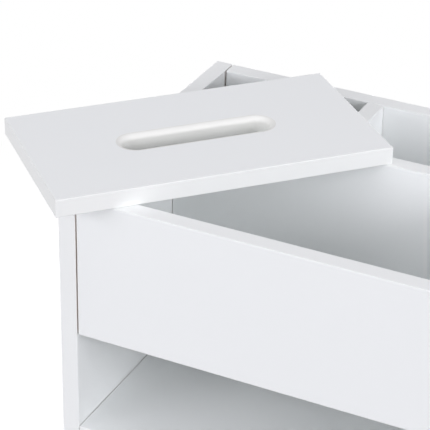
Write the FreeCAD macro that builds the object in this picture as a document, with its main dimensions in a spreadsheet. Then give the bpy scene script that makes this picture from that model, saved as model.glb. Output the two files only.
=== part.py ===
import FreeCAD, Part
import math
import os
import re

import Sketcher

Vector = FreeCAD.Vector
Rotation = FreeCAD.Rotation
Placement = FreeCAD.Placement

X_AXIS = Vector(1, 0, 0)
Y_AXIS = Vector(0, 1, 0)
Z_AXIS = Vector(0, 0, 1)

# A rolling storage cart of white laminated board, in millimetres. The origin lies on the floor under
# the middle of the cabinet: X runs to the right, Y to the rear and Z up.

# Driving dimensions, one cell each.
SIZES = {
    # Cabinet
    "board": 16,                # thickness of every board
    "cart_length": 355,         # over the outer faces of the side panels
    "cart_depth": 300,          # front edge to rear edge
    "side_height": 582,         # height of a side panel
    "apron_height": 132,        # height of the aprons round the top tray
    "bin_depth": 161,           # clear depth of the front bin
    "rear_left_clear": 144,     # clear width of the rear left compartment
    "shelf_drop": 228,          # from the rim down to the upper shelf
    "lower_clear": 157,         # clear height between base board and lower shelf
    "end_gap": 0.6,             # open joint where a raw board end meets another board
    "apron_gap": 1.5,           # the wider open joint at the ends of the aprons
    # Edge bands
    "band": 1,                  # thickness of the edge band
    "band_round": 0.8,          # rounding of the band's outer edges
    # Thin rear sheet
    "rear_sheet": 3,            # thickness
    "rear_inset": 8,            # from the rear edge to the sheet
    "groove_depth": 6,          # depth of the groove that holds the sheet
    "sheet_gap": 0.2,           # clearance of the sheet in its groove
    # Lid with the tissue slot, and where it lies on the rim
    "lid_length": 298,
    "lid_width": 158,
    "lid_turn": 46.5,           # degrees, from the cart's length to the lid's
    "lid_from_left": 64.2,      # lid centre, from the cart's left face
    "lid_from_rear": 172.9,     # lid centre, from the cart's rear
    "slot_length": 134,
    "slot_width": 24,
    "slot_round": 5,            # rounding of the slot's upper edge
    "slot_ease": 0.5,           # rounding of its lower edge
    "cleat_width": 20,          # cleats that carry the dropped-in lid
    "cleat_height": 12,
    # Knock-down fittings
    "fit_gap": 0.1,             # clearance of a fitting in its hole
    "dowel_diameter": 8,
    "dowel_length": 30,
    "dowel_seat": 10,           # depth of a dowel in the carrying board
    "dowel_rise": 70,           # between the two dowels of an upright board's end
    "dowel_bevel": 1,
    "cam_diameter": 15,
    "cam_height": 12,
    "cam_reach": 34,            # from the carrying board's face to the cam's axis
    "cam_setback": 44,          # from a flat board's dowel to the cam beside it
    "cam_slot_width": 2.5,
    "cam_slot_depth": 2.5,
    "bolt_thread": 5,           # diameters along the cam bolt
    "bolt_shank": 6,
    "bolt_neck": 4,
    "bolt_seat": 10.5,          # depth of the bolt in the carrying board
    "bolt_head_length": 3,
    "bolt_neck_length": 4,
    "bolt_bore_gap": 0.5,       # room round the bolt in the board's end
    "cleat_screw": 3.5,         # diameters and lengths of the screws
    "cleat_screw_length": 28,
    "cleat_screw_head": 7,
    "cleat_screw_inset": 34,    # from the cleat's end to its screw
    "plate_screw": 4,
    "plate_screw_length": 14,
    "plate_screw_head": 8,
    "plate_screw_rise": 2.2,
    # Casters
    "wheel_diameter": 40,
    "wheel_width": 16,
    "caster_headroom": 18,      # from the wheel's top to the base board
    "caster_trail": 17,         # from the swivel axis to the axle
    "caster_inset": 46,         # from the cart's outer faces to the swivel axis
    "run_gap": 0.3,             # between pieces that turn past each other
    "pin_gap": 0.08,            # round a pin that something turns on
    "plate_thick": 2.5,
    "plate_round": 6,
    "plate_pitch_long": 42,     # screw spacing along and across the plate
    "plate_pitch_wide": 30,
    "plate_margin": 7,          # from a screw's axis to the plate's edge
    "race_radius": 13,
    "race_height": 2,
    "race_round": 0.8,
    "washer_thick": 1.5,
    "king_pin": 7,
    "king_pin_head": 12,
    "king_pin_tail": 11,
    "king_pin_tail_height": 2,
    "fork_sheet": 2,
    "fork_nose": 13,            # reach of the crown in front of the swivel axis
    "fork_lip": 4,              # drop of the leg at its front edge
    "fork_bend": 2.5,           # outer radius between crown and legs
    "leg_end": 7,               # leg material round the axle
    "leg_corner": 5.5,          # rounding of the leg's end
    "wheel_side_gap": 1.2,      # between wheel and leg
    "axle": 6,
    "axle_head": 10,
    "axle_head_height": 2,
    "axle_tail": 9,
    "tread_thick": 5.5,
    "tread_round": 3,
    "mould_gap": 0.05,          # between tread and hub
    "hub_rim": 2.5,
    "hub_rim_width": 13,
    "hub_web": 5,
    "hub_boss": 11,             # diameter of the boss round the axle
    "hub_boss_out": 0.7,        # boss reach past the wheel's side
    "hub_hole": 4,
    "hub_hole_count": 6,
    # Brakes of the front casters
    "brake_angle": 30.8,        # degrees from upright, axle to lever pivot
    "brake_rise": 7.35,         # from the tread to the lever pivot
    "brake_swing": 18,          # degrees from released to locked
    "brake_ear": 5,             # fork material round the pivot
    "brake_pin": 3,
    "barrel_radius": 4,
    "nose_radius": 2,
    "lever_side_gap": 0.5,
    "lever_sheet": 2.4,
    "pedal_gap": 1.8,           # between the fork's tail and the pedal
    "pedal_length": 22,
    "pedal_width": 26,
    "pedal_round": 5,
    "pedal_rib": 1.2,
    "pedal_rib_count": 3,
}

# Lengths and levels that follow from the driving dimensions.
DERIVED = {
    "caster_height": "wheel_diameter + caster_headroom",
    "rim": "caster_height + side_height",
    "half_length": "cart_length / 2",
    "half_depth": "cart_depth / 2",
    "inner_half": "half_length - board",
    "cross_length": "2 * inner_half - 2 * end_gap",
    "apron_length": "2 * inner_half - 2 * apron_gap",
    "tray_base": "rim - apron_height",
    "bin_floor": "tray_base + board",
    "partition_front": "board + bin_depth - half_depth",
    "partition_rear": "partition_front + board",
    "rear_clear": "half_depth - board - partition_rear",
    "divider_left": "rear_left_clear + board - half_length",
    "upper_shelf_base": "rim - shelf_drop - board",
    "lower_shelf_base": "caster_height + board + lower_clear",
    "sheet_front": "half_depth - rear_inset - rear_sheet",
    "shelf_core": "sheet_front - end_gap + half_depth - band",
    "groove_top": "tray_base + groove_depth",
    "groove_width": "rear_sheet + 2 * sheet_gap",
    "cleat_base": "rim - board - cleat_height",
    "caster_x": "half_length - caster_inset",
    "caster_y": "half_depth - caster_inset",
    "dowel_line": "caster_y",
    "cam_line": "dowel_line - cam_setback",
    "wheel_radius": "wheel_diameter / 2",
    "axle_drop": "caster_height - wheel_radius",
    "washer_top": "-plate_thick - race_height",
    "crown_top": "washer_top - washer_thick - run_gap",
    "crown_base": "crown_top - fork_sheet",
    "fork_inner": "wheel_width + 2 * wheel_side_gap",
    "fork_outer": "fork_inner + 2 * fork_sheet",
    "pivot_reach": "wheel_radius + brake_rise",
    "pivot_y": "-caster_trail - pivot_reach * sin(brake_angle * 1 deg)",
    "pivot_z": "pivot_reach * cos(brake_angle * 1 deg) - axle_drop",
    "fork_tail": "pivot_y - brake_ear",
    "nose_reach": "brake_rise - nose_radius - run_gap",
    "hub_radius": "wheel_radius - tread_thick - mould_gap",
}

document = FreeCAD.newDocument("storage_cart")
sheet = document.addObject("Spreadsheet::Sheet", "sizes")
for row, (alias, value) in enumerate(SIZES.items(), start=1):
    sheet.set(f"A{row}", alias)
    sheet.set(f"B{row}", str(value))
    sheet.setAlias(f"B{row}", alias)
document.recompute()
derived = document.addObject("App::VarSet", "derived")


def formula(text):
    """Turn the names of sizes in a formula into references to their cells."""
    def reference(match):
        word = match.group()
        if word in SIZES:
            return "sizes." + word
        if word in DERIVED:
            return "derived." + word
        return word
    return re.sub(r"[a-z_]+", reference, text)


for name, text in DERIVED.items():
    derived.addProperty("App::PropertyFloat", name)
    derived.setExpression(name, formula(text))
document.recompute()


def number(name):
    """Read the present value of a driving or derived size."""
    holder = sheet if name in SIZES else derived
    return float(getattr(holder, name))


nodes = {}


def add_node(item, label):
    """Name a finished sub-part and keep it for export."""
    item.Label = label
    nodes[label] = item
    return item


def place(item, x="0", y="0", z="0"):
    for axis, text in zip("xyz", (x, y, z)):
        item.setExpression(f"Placement.Base.{axis}", formula(text))


# Sketch and feature helpers

def new_body(name):
    return document.addObject("PartDesign::Body", name)


def new_sketch(body, name, plane, offset=None):
    """Sketch on one of the body's own origin planes, moved along the plane's normal."""
    support = next(item for item in body.Origin.OriginFeatures if item.Role == plane)
    sketch = body.newObject("Sketcher::SketchObject", f"{body.Name}_{name}")
    sketch.AttachmentSupport = [(support, "")]
    sketch.MapMode = "FlatFace"
    if offset:
        sketch.setExpression("AttachmentOffset.Base.z", formula(offset))
    return sketch


def hold_point(sketch, geometry, vertex, x, y):
    """Hold a point at formulas measured from the sketch's origin."""
    for axis, kind, text in ((-2, "DistanceX", x), (-1, "DistanceY", y)):
        if text == "0":
            sketch.addConstraint(Sketcher.Constraint("PointOnObject", geometry, vertex, axis))
            continue
        index = sketch.addConstraint(Sketcher.Constraint(kind, -1, 1, geometry, vertex, 1.0))
        held = f"{kind}_{geometry}"
        sketch.renameConstraint(index, held)
        sketch.setExpression(f"Constraints.{held}", formula(text))


def draw_outline(sketch, points):
    """Closed outline of straight lines through points given as formulas."""
    count = len(points)
    first = sketch.GeometryCount
    turns = [2 * math.pi * step / count for step in range(count + 1)]
    corners = [Vector(math.cos(turn), math.sin(turn), 0) for turn in turns]
    for start, end in zip(corners, corners[1:]):
        sketch.addGeometry(Part.LineSegment(start, end))
    for step in range(count):
        following = first + (step + 1) % count
        sketch.addConstraint(Sketcher.Constraint("Coincident", first + step, 2, following, 1))
    for step, (x, y) in enumerate(points):
        hold_point(sketch, first + step, 1, x, y)


def draw_rectangle(sketch, left, bottom, right, top):
    draw_outline(sketch, [(left, bottom), (right, bottom), (right, top), (left, top)])


def draw_circle(sketch, x, y, radius):
    index = sketch.addGeometry(Part.Circle(Vector(1, 1, 0), Z_AXIS, 1))
    hold_point(sketch, index, 3, x, y)
    held = sketch.addConstraint(Sketcher.Constraint("Radius", index, 1.0))
    sketch.renameConstraint(held, f"radius_{index}")
    sketch.setExpression(f"Constraints.radius_{index}", formula(radius))


def draw_stadium(sketch, length, width):
    """Slot with round ends, centred on the sketch's origin; length and width name sizes."""
    radius = number(width) / 2
    reach = number(length) / 2 - radius
    quarter = math.pi / 2
    right = Part.Circle(Vector(reach, 0, 0), Z_AXIS, radius)
    left = Part.Circle(Vector(-reach, 0, 0), Z_AXIS, radius)
    sketch.addGeometry(Part.LineSegment(Vector(-reach, radius, 0), Vector(reach, radius, 0)))
    sketch.addGeometry(Part.ArcOfCircle(right, -quarter, quarter))
    sketch.addGeometry(Part.LineSegment(Vector(reach, -radius, 0), Vector(-reach, -radius, 0)))
    sketch.addGeometry(Part.ArcOfCircle(left, quarter, 3 * quarter))
    for tangent in ((0, 2, 1, 2), (1, 1, 2, 1), (2, 2, 3, 2), (3, 1, 0, 1)):
        sketch.addConstraint(Sketcher.Constraint("Tangent", *tangent))
    sketch.addConstraint(Sketcher.Constraint("Equal", 1, 3))
    sketch.addConstraint(Sketcher.Constraint("Horizontal", 0))
    sketch.addConstraint(Sketcher.Constraint("Symmetric", 3, 3, 1, 3, -1, 1))
    ends = sketch.addConstraint(Sketcher.Constraint("Radius", 1, radius))
    reaches = sketch.addConstraint(Sketcher.Constraint("DistanceX", 3, 3, 1, 3, 2 * reach))
    sketch.renameConstraint(ends, "end_radius")
    sketch.renameConstraint(reaches, "centres")
    sketch.setExpression("Constraints.end_radius", formula(f"{width} / 2"))
    sketch.setExpression("Constraints.centres", formula(f"{length} - {width}"))


def add_feature(body, kind, name, profile):
    feature = body.newObject(f"PartDesign::{kind}", f"{body.Name}_{name}")
    feature.Profile = profile
    return feature


def pad(body, name, sketch, length, symmetric=False, reverse=False):
    feature = add_feature(body, "Pad", name, sketch)
    feature.setExpression("Length", formula(length))
    if symmetric:
        feature.SideType = "Symmetric"
    feature.Reversed = reverse
    return feature


def pocket(body, name, sketch, depth, reverse=False):
    feature = add_feature(body, "Pocket", name, sketch)
    feature.setExpression("Length", formula(depth))
    feature.Reversed = reverse
    return feature


def pocket_through(body, name, sketch):
    feature = add_feature(body, "Pocket", name, sketch)
    feature.Type = "ThroughAll"
    feature.SideType = "Symmetric"
    return feature


def turn(body, name, sketch, axis):
    """Revolve a half section about one of its sketch's own axes."""
    feature = add_feature(body, "Revolution", name, sketch)
    feature.ReferenceAxis = (sketch, [axis])
    return feature


def round_edges(body, name, radius, wanted):
    """Round the edges of the body so far that the test picks."""
    document.recompute()
    base = body.Tip
    picked = [f"Edge{index}" for index, edge in enumerate(base.Shape.Edges, start=1) if wanted(edge)]
    feature = body.newObject("PartDesign::Fillet", f"{body.Name}_{name}")
    feature.Base = (base, picked)
    feature.setExpression("Radius", formula(radius))
    return feature


def is_straight(edge, axis):
    if edge.Curve.TypeId != "Part::GeomLine":
        return False
    return abs(edge.Curve.Direction.dot(axis)) > math.cos(math.radians(1))


def is_near(first, second):
    return abs(first - second) < number("fit_gap")


# Boards of the cabinet

blanks = {}


def board_blank(label, plane, width, height, x, y, z, thickness="board"):
    """Plain board in one of the three planes, with its lowest corner at x, y, z."""
    body = new_body(f"{label}_blank")
    outline = new_sketch(body, "outline", plane)
    draw_rectangle(outline, "0", "0", width, height)
    pad(body, "pad", outline, thickness, reverse=plane == "XZ_Plane")
    place(body, x, y, z)
    blanks[label] = body
    return body


def groove_side(body, left):
    """Stopped groove for the rear sheet in the inner face of a side panel."""
    inner_face = "board" if left else None
    sketch = new_sketch(body, "groove", "YZ_Plane", inner_face)
    low = "sheet_front - sheet_gap + half_depth - band"
    draw_rectangle(sketch, low, "0", f"{low} + groove_width", "groove_top - caster_height - band")
    pocket(body, "groove", sketch, "groove_depth", reverse=not left)


def groove_rear_apron(body):
    """Groove for the upper edge of the rear sheet, along the apron's lower edge."""
    sketch = new_sketch(body, "groove", "XY_Plane")
    low = "sheet_front - sheet_gap - half_depth + board"
    draw_rectangle(sketch, "0", low, "apron_length", f"{low} + groove_width")
    pocket(body, "groove", sketch, "groove_depth", reverse=True)


def make_blanks():
    cross_left = "-cross_length / 2"
    apron_left = "-apron_length / 2"
    side = ("cart_depth - 2 * band", "side_height - 2 * band")
    side_low = ("band - half_depth", "caster_height + band")
    left = board_blank("left_side", "YZ_Plane", *side, "-half_length", *side_low)
    right = board_blank("right_side", "YZ_Plane", *side, "inner_half", *side_low)
    groove_side(left, True)
    groove_side(right, False)
    board_blank("front_apron", "XZ_Plane", "apron_length", "apron_height - 2 * band",
                apron_left, "-half_depth", "tray_base + band")
    rear = board_blank("rear_apron", "XZ_Plane", "apron_length", "apron_height - band",
                       apron_left, "half_depth - board", "tray_base")
    groove_rear_apron(rear)
    inside = "apron_height - board - band"
    board_blank("bin_partition", "XZ_Plane", "cross_length", inside,
                cross_left, "partition_front", "bin_floor")
    board_blank("rear_divider", "YZ_Plane", "rear_clear - 2 * end_gap", inside,
                "divider_left", "partition_rear + end_gap", "bin_floor")
    board_blank("tray_floor", "XY_Plane", "cross_length", "cart_depth - 2 * board - 2 * end_gap",
                cross_left, "board + end_gap - half_depth", "tray_base")
    shelf_levels = {
        "upper_shelf": "upper_shelf_base",
        "lower_shelf": "lower_shelf_base",
        "base_board": "caster_height",
    }
    for label, level in shelf_levels.items():
        board_blank(label, "XY_Plane", "cross_length", "shelf_core",
                    cross_left, "band - half_depth", level)
    held = "groove_depth - sheet_gap"
    board_blank("rear_sheet_panel", "XZ_Plane", f"2 * inner_half + 2 * ({held})",
                "groove_top - sheet_gap - caster_height - band",
                f"-inner_half - ({held})", "sheet_front", "caster_height + band",
                thickness="rear_sheet")
    for label, x in (("lid_cleat_left", "-inner_half"), ("lid_cleat_right", "inner_half - cleat_width")):
        board_blank(label, "XY_Plane", "cleat_width", "bin_depth - 2 * end_gap",
                    x, "board + end_gap - half_depth", "cleat_base", thickness="cleat_height")
    document.recompute()


# Knock-down fittings and screws, each modelled once along +X or +Z and then set in its holes

def make_dowel():
    body = new_body("dowel_pattern")
    section = new_sketch(body, "section", "XY_Plane")
    radius = "dowel_diameter / 2"
    narrow = f"{radius} - dowel_bevel"
    rear = "-dowel_seat"
    front = "dowel_length - dowel_seat"
    draw_outline(section, [
        (rear, "0"), (rear, narrow), (f"{rear} + dowel_bevel", radius),
        (f"{front} - dowel_bevel", radius), (front, narrow), (front, "0"),
    ])
    turn(body, "turn", section, "H_Axis")
    return body


def make_cam_bolt():
    body = new_body("cam_bolt_pattern")
    section = new_sketch(body, "section", "XY_Plane")
    tip = "cam_reach + bolt_head_length / 2"
    head = f"{tip} - bolt_head_length"
    neck = f"{head} - bolt_neck_length"
    draw_outline(section, [
        ("-bolt_seat", "0"), ("-bolt_seat", "bolt_thread / 2"), ("0", "bolt_thread / 2"),
        ("0", "bolt_shank / 2"), (neck, "bolt_shank / 2"), (neck, "bolt_neck / 2"),
        (head, "bolt_neck / 2"), (head, "bolt_shank / 2"), (tip, "bolt_shank / 2"), (tip, "0"),
    ])
    turn(body, "turn", section, "H_Axis")
    return body


def make_cam():
    """Cam disc: open face at z = 0, bolt bore from -X to just past the axis, driver slot."""
    body = new_body("cam_pattern")
    outline = new_sketch(body, "outline", "XY_Plane")
    draw_circle(outline, "0", "0", "cam_diameter / 2")
    pad(body, "pad", outline, "cam_height")
    slot = new_sketch(body, "slot", "XY_Plane")
    draw_rectangle(slot, "-cam_diameter / 3", "-cam_slot_width / 2",
                   "cam_diameter / 3", "cam_slot_width / 2")
    pocket(body, "slot", slot, "cam_slot_depth", reverse=True)
    bore = new_sketch(body, "bore", "YZ_Plane", "bolt_head_length / 2 + bolt_bore_gap")
    draw_circle(bore, "0", "board / 2", "bolt_shank / 2 + bolt_bore_gap")
    pocket(body, "bore", bore, "cam_diameter")
    return body


def make_cleat_screw():
    """Countersunk screw, head face at x = 0, pointing along +X."""
    body = new_body("cleat_screw_pattern")
    section = new_sketch(body, "section", "XY_Plane")
    sink = "(cleat_screw_head - cleat_screw) / 2"
    draw_outline(section, [
        ("0", "0"), ("0", "cleat_screw_head / 2"), (sink, "cleat_screw / 2"),
        ("cleat_screw_length - cleat_screw", "cleat_screw / 2"), ("cleat_screw_length", "0"),
    ])
    turn(body, "turn", section, "H_Axis")
    return body


def make_plate_screw():
    """Pan head screw, head seat at x = 0, pointing along +X."""
    body = new_body("plate_screw_pattern")
    section = new_sketch(body, "section", "XY_Plane")
    draw_outline(section, [
        ("-plate_screw_rise", "0"), ("-plate_screw_rise", "plate_screw_head / 3"),
        ("-plate_screw_rise / 2", "plate_screw_head / 2"), ("0", "plate_screw_head / 2"),
        ("0", "plate_screw / 2"), ("plate_screw_length - plate_screw", "plate_screw / 2"),
        ("plate_screw_length", "0"),
    ])
    turn(body, "turn", section, "H_Axis")
    return body


class Fittings:
    """Copies of one fitting, gathered in one node."""

    def __init__(self, label, pattern):
        self.label = label
        self.pattern = pattern
        self.copies = []

    def add(self, point, rotation):
        copy = self.pattern.Shape.copy()
        copy.Placement = Placement(point, rotation)
        self.copies.append(copy)

    def finish(self):
        group = document.addObject("Part::Feature", self.label)
        group.Shape = Part.makeCompound(self.copies)
        add_node(group, self.label)


drills = {}


def drill(label, point, direction, radius, depth):
    drills.setdefault(label, []).append(Part.makeCylinder(radius, depth, point, direction))


def set_dowel(dowels, carrier, board, face, inward):
    """Dowel across a joint: seat in the carrying board, the rest in the other board's end."""
    dowels.add(face, Rotation(X_AXIS, inward))
    radius = number("dowel_diameter") / 2 + number("fit_gap")
    seat = number("dowel_seat") + number("fit_gap")
    rest = number("dowel_length") - number("dowel_seat") + number("fit_gap")
    drill(carrier, face, -inward, radius, seat)
    drill(board, face, inward, radius, rest)


def set_cam(cams, bolts, carrier, board, face, inward, cam_face, into_board):
    """Cam bolt in the carrying board and the cam that draws the other board onto it."""
    bolts.add(face, Rotation(X_AXIS, inward))
    cams.add(cam_face, Rotation(inward, Vector(), into_board, "ZXY"))
    gap = number("fit_gap")
    drill(carrier, face, -inward, number("bolt_thread") / 2 + gap, number("bolt_seat") + gap)
    drill(board, face, inward, number("bolt_shank") / 2 + number("bolt_bore_gap"), number("cam_reach"))
    drill(board, cam_face, into_board, number("cam_diameter") / 2 + gap, number("cam_height") + gap)


FLAT_BOARDS = ("tray_floor", "upper_shelf", "lower_shelf", "base_board")
UPRIGHT_BOARDS = ("front_apron", "bin_partition", "rear_apron")
SIDES = (("left_side", -1), ("right_side", 1))


def join_boards(dowels, cams, bolts):
    """Fittings of every board that ends at the side panels, and of the rear divider."""
    reach = number("cam_reach")
    for carrier, side in SIDES:
        face_x = side * number("inner_half")
        inward = X_AXIS * -side
        for board in FLAT_BOARDS:
            box = blanks[board].Shape.BoundBox
            level = box.Center.z
            for end in (-1, 1):
                face = Vector(face_x, end * number("cam_line"), level)
                cam_face = Vector(face.x - side * reach, face.y, box.ZMin)
                set_cam(cams, bolts, carrier, board, face, inward, cam_face, Z_AXIS)
                dowel_face = Vector(face_x, end * number("dowel_line"), level)
                set_dowel(dowels, carrier, board, dowel_face, inward)
        for board in UPRIGHT_BOARDS:
            box = blanks[board].Shape.BoundBox
            face = Vector(face_x, box.Center.y, box.Center.z)
            cam_face = Vector(face_x - side * reach, box.YMax, box.Center.z)
            set_cam(cams, bolts, carrier, board, face, inward, cam_face, -Y_AXIS)
            for end in (-1, 1):
                shift = Z_AXIS * (end * number("dowel_rise") / 2)
                set_dowel(dowels, carrier, board, face + shift, inward)
    divider = blanks["rear_divider"].Shape.BoundBox
    ends = (
        ("bin_partition", number("partition_rear"), Y_AXIS),
        ("rear_apron", number("half_depth") - number("board"), -Y_AXIS),
    )
    for carrier, face_y, inward in ends:
        for end in (-1, 1):
            level = divider.Center.z + end * number("dowel_rise") / 2
            set_dowel(dowels, carrier, "rear_divider", Vector(divider.Center.x, face_y, level), inward)


def screw_cleats(screws):
    radius = number("cleat_screw") / 2 + number("fit_gap")
    head = number("cleat_screw_head") / 2 + number("fit_gap")
    sink = (number("cleat_screw_head") - number("cleat_screw")) / 2
    for (side_label, side), cleat in zip(SIDES, ("lid_cleat_left", "lid_cleat_right")):
        box = blanks[cleat].Shape.BoundBox
        inner_x = side * (number("inner_half") - number("cleat_width"))
        for y in (box.YMin + number("cleat_screw_inset"), box.YMax - number("cleat_screw_inset")):
            point = Vector(inner_x, y, box.Center.z)
            outward = X_AXIS * side
            screws.add(point, Rotation(X_AXIS, outward))
            for label in (side_label, cleat):
                drill(label, point, outward, radius, number("cleat_screw_length") + number("fit_gap"))
            drills[cleat].append(Part.makeCone(head, radius, sink, point, outward))


CORNERS = {
    "front_left": (-1, -1),
    "front_right": (1, -1),
    "rear_left": (-1, 1),
    "rear_right": (1, 1),
}
BRAKED_CORNERS = ("front_left", "front_right")


def screw_plates(screws):
    """Screws through the caster plates into the base board."""
    radius = number("plate_screw") / 2 + number("fit_gap")
    depth = number("plate_screw_length") - number("plate_thick") + number("fit_gap")
    for side, row in CORNERS.values():
        for along in (-1, 1):
            for across in (-1, 1):
                x = side * number("caster_x") + along * number("plate_pitch_long") / 2
                y = row * number("caster_y") + across * number("plate_pitch_wide") / 2
                seat = Vector(x, y, number("caster_height") - number("plate_thick"))
                screws.add(seat, Rotation(X_AXIS, Z_AXIS))
                drill("base_board", Vector(x, y, number("caster_height")), Z_AXIS, radius, depth)


def finish_boards():
    """Take the drilled holes out of the boards and name the results."""
    for label, blank in blanks.items():
        if label not in drills:
            add_node(blank, label)
            continue
        bits = document.addObject("Part::Feature", f"{label}_drills")
        bits.Shape = Part.makeCompound(drills[label])
        cut = document.addObject("Part::Cut", label)
        cut.Base = blank
        cut.Tool = bits
        add_node(cut, label)


# Edge bands

def band_strip(box, outward, overrun=0.0):
    """Band on one edge of a board's box, its outer face's long edges rounded."""
    thickness = number("band")
    low = Vector(box.XMin, box.YMin, box.ZMin)
    high = Vector(box.XMax, box.YMax, box.ZMax)
    sideways = [axis for axis in (X_AXIS, Y_AXIS, Z_AXIS) if axis.dot(outward) == 0]
    along = max(sideways, key=(high - low).dot)
    low = low - along * overrun
    high = high + along * overrun
    size = high - low
    across = outward * outward.dot(size)
    if outward.dot(Vector(1, 1, 1)) > 0:
        corner = low + across
    else:
        corner = low + outward * thickness
    size = size - across + Vector(*(abs(part) * thickness for part in outward))
    strip = Part.makeBox(size.x, size.y, size.z, corner)
    outer = outward.dot(strip.CenterOfMass) + thickness / 2
    rounded = [edge for edge in strip.Edges
               if is_straight(edge, along) and is_near(outward.dot(edge.CenterOfMass), outer)]
    return strip.makeFillet(number("band_round"), rounded)


def make_cabinet_bands():
    band = number("band")
    strips = []
    for label in ("left_side", "right_side"):
        box = blanks[label].Shape.BoundBox
        strips += [band_strip(box, outward, band) for outward in (-Y_AXIS, Y_AXIS)]
        strips += [band_strip(box, outward) for outward in (-Z_AXIS, Z_AXIS)]
    banded_edges = {
        "front_apron": (Z_AXIS, -Z_AXIS),
        "rear_apron": (Z_AXIS,),
        "bin_partition": (Z_AXIS,),
        "rear_divider": (Z_AXIS,),
        "upper_shelf": (-Y_AXIS,),
        "lower_shelf": (-Y_AXIS,),
        "base_board": (-Y_AXIS,),
    }
    for label, faces in banded_edges.items():
        strips += [band_strip(blanks[label].Shape.BoundBox, outward) for outward in faces]
    bands = document.addObject("Part::Feature", "edge_bands")
    bands.Shape = Part.makeCompound(strips)
    add_node(bands, "edge_bands")


# Lid

def make_lid():
    body = new_body("tissue_lid")
    outline = new_sketch(body, "outline", "XY_Plane")
    half_length = "lid_length / 2 - band"
    half_width = "lid_width / 2 - band"
    draw_rectangle(outline, f"-({half_length})", f"-({half_width})", half_length, half_width)
    pad(body, "pad", outline, "board")
    slot = new_sketch(body, "slot", "XY_Plane")
    draw_stadium(slot, "slot_length", "slot_width")
    pocket_through(body, "slot", slot)
    reach = number("slot_length") / 2 + number("fit_gap")
    top_level = number("board")

    def on_slot(edge, level):
        box = edge.BoundBox
        flat = is_near(box.ZMin, level) and is_near(box.ZMax, level)
        return flat and max(abs(box.XMin), abs(box.XMax)) < reach

    round_edges(body, "routed_edge", "slot_round", lambda edge: on_slot(edge, top_level))
    round_edges(body, "eased_edge", "slot_ease", lambda edge: on_slot(edge, 0))
    body.Placement = Placement(Vector(), Rotation(Z_AXIS, number("lid_turn")))
    place(body, "lid_from_left - half_length", "half_depth - lid_from_rear", "rim")
    body.setExpression("Placement.Rotation.Angle", formula("lid_turn * 1 deg"))
    add_node(body, "tissue_lid")
    make_lid_bands(body)


def make_lid_bands(lid):
    band = number("band")
    half_length = number("lid_length") / 2 - band
    half_width = number("lid_width") / 2 - band
    box = FreeCAD.BoundBox(-half_length, -half_width, 0, half_length, half_width, number("board"))
    strips = [band_strip(box, outward, band) for outward in (-Y_AXIS, Y_AXIS)]
    strips += [band_strip(box, outward) for outward in (-X_AXIS, X_AXIS)]
    bands = document.addObject("Part::Feature", "lid_edge_bands")
    bands.Shape = Part.makeCompound(strips)
    bands.setExpression("Placement", "tissue_lid.Placement")
    add_node(bands, "lid_edge_bands")


# Casters: each piece stands in a frame on the swivel axis at the base board, trailing to the front

class Corner:
    """Names and places of one caster."""

    def __init__(self, label, side, row):
        self.label = label
        self.x = f"{side} * caster_x"
        self.y = f"{row} * caster_y"

    def body(self, piece):
        return new_body(f"{piece}_{self.label}")

    def finish(self, body, y="0", z="0"):
        place(body, self.x, f"{self.y} + {y}", f"caster_height + {z}")
        add_node(body, body.Name)


def make_plate(corner):
    body = corner.body("caster_plate")
    outline = new_sketch(body, "outline", "XY_Plane")
    half_length = "plate_pitch_long / 2 + plate_margin"
    half_width = "plate_pitch_wide / 2 + plate_margin"
    draw_rectangle(outline, f"-({half_length})", f"-({half_width})", half_length, half_width)
    pad(body, "pad", outline, "plate_thick", reverse=True)
    round_edges(body, "corners", "plate_round", lambda edge: is_straight(edge, Z_AXIS))
    race = new_sketch(body, "race", "XY_Plane", "-plate_thick")
    draw_circle(race, "0", "0", "race_radius")
    pad(body, "race", race, "race_height", reverse=True)
    lowest = number("washer_top")
    round_edges(body, "race_round", "race_round", lambda edge: is_near(edge.BoundBox.ZMax, lowest))
    holes = new_sketch(body, "holes", "XY_Plane")
    for along in ("-", ""):
        for across in ("-", ""):
            draw_circle(holes, f"{along}plate_pitch_long / 2", f"{across}plate_pitch_wide / 2",
                        "plate_screw / 2 + pin_gap")
    pocket_through(body, "holes", holes)
    bore = new_sketch(body, "bore", "XZ_Plane")
    draw_outline(bore, [
        ("0", "0"), ("king_pin_head / 2 + fit_gap", "0"), ("king_pin / 2 + fit_gap", "-plate_thick"),
        ("king_pin / 2 + fit_gap", "washer_top"), ("0", "washer_top"),
    ])
    groove = add_feature(body, "Groove", "bore", bore)
    groove.ReferenceAxis = (bore, ["V_Axis"])
    corner.finish(body)


def make_king_pin(corner):
    """Countersunk rivet from the plate through the fork's crown, peened below it."""
    body = corner.body("king_pin")
    section = new_sketch(body, "section", "XZ_Plane")
    tail = "crown_base - run_gap"
    bottom = f"{tail} - king_pin_tail_height"
    draw_outline(section, [
        ("0", "0"), ("king_pin_head / 2", "0"), ("king_pin / 2", "-plate_thick"), ("king_pin / 2", tail),
        ("king_pin_tail / 2", tail), ("king_pin_tail / 3", bottom), ("0", bottom),
    ])
    turn(body, "turn", section, "V_Axis")
    corner.finish(body)


def make_washer(corner):
    body = corner.body("thrust_washer")
    ring = new_sketch(body, "ring", "XY_Plane", "washer_top")
    draw_circle(ring, "0", "0", "race_radius - race_round")
    draw_circle(ring, "0", "0", "king_pin / 2 + pin_gap")
    pad(body, "pad", ring, "washer_thick", reverse=True)
    corner.finish(body)


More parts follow.
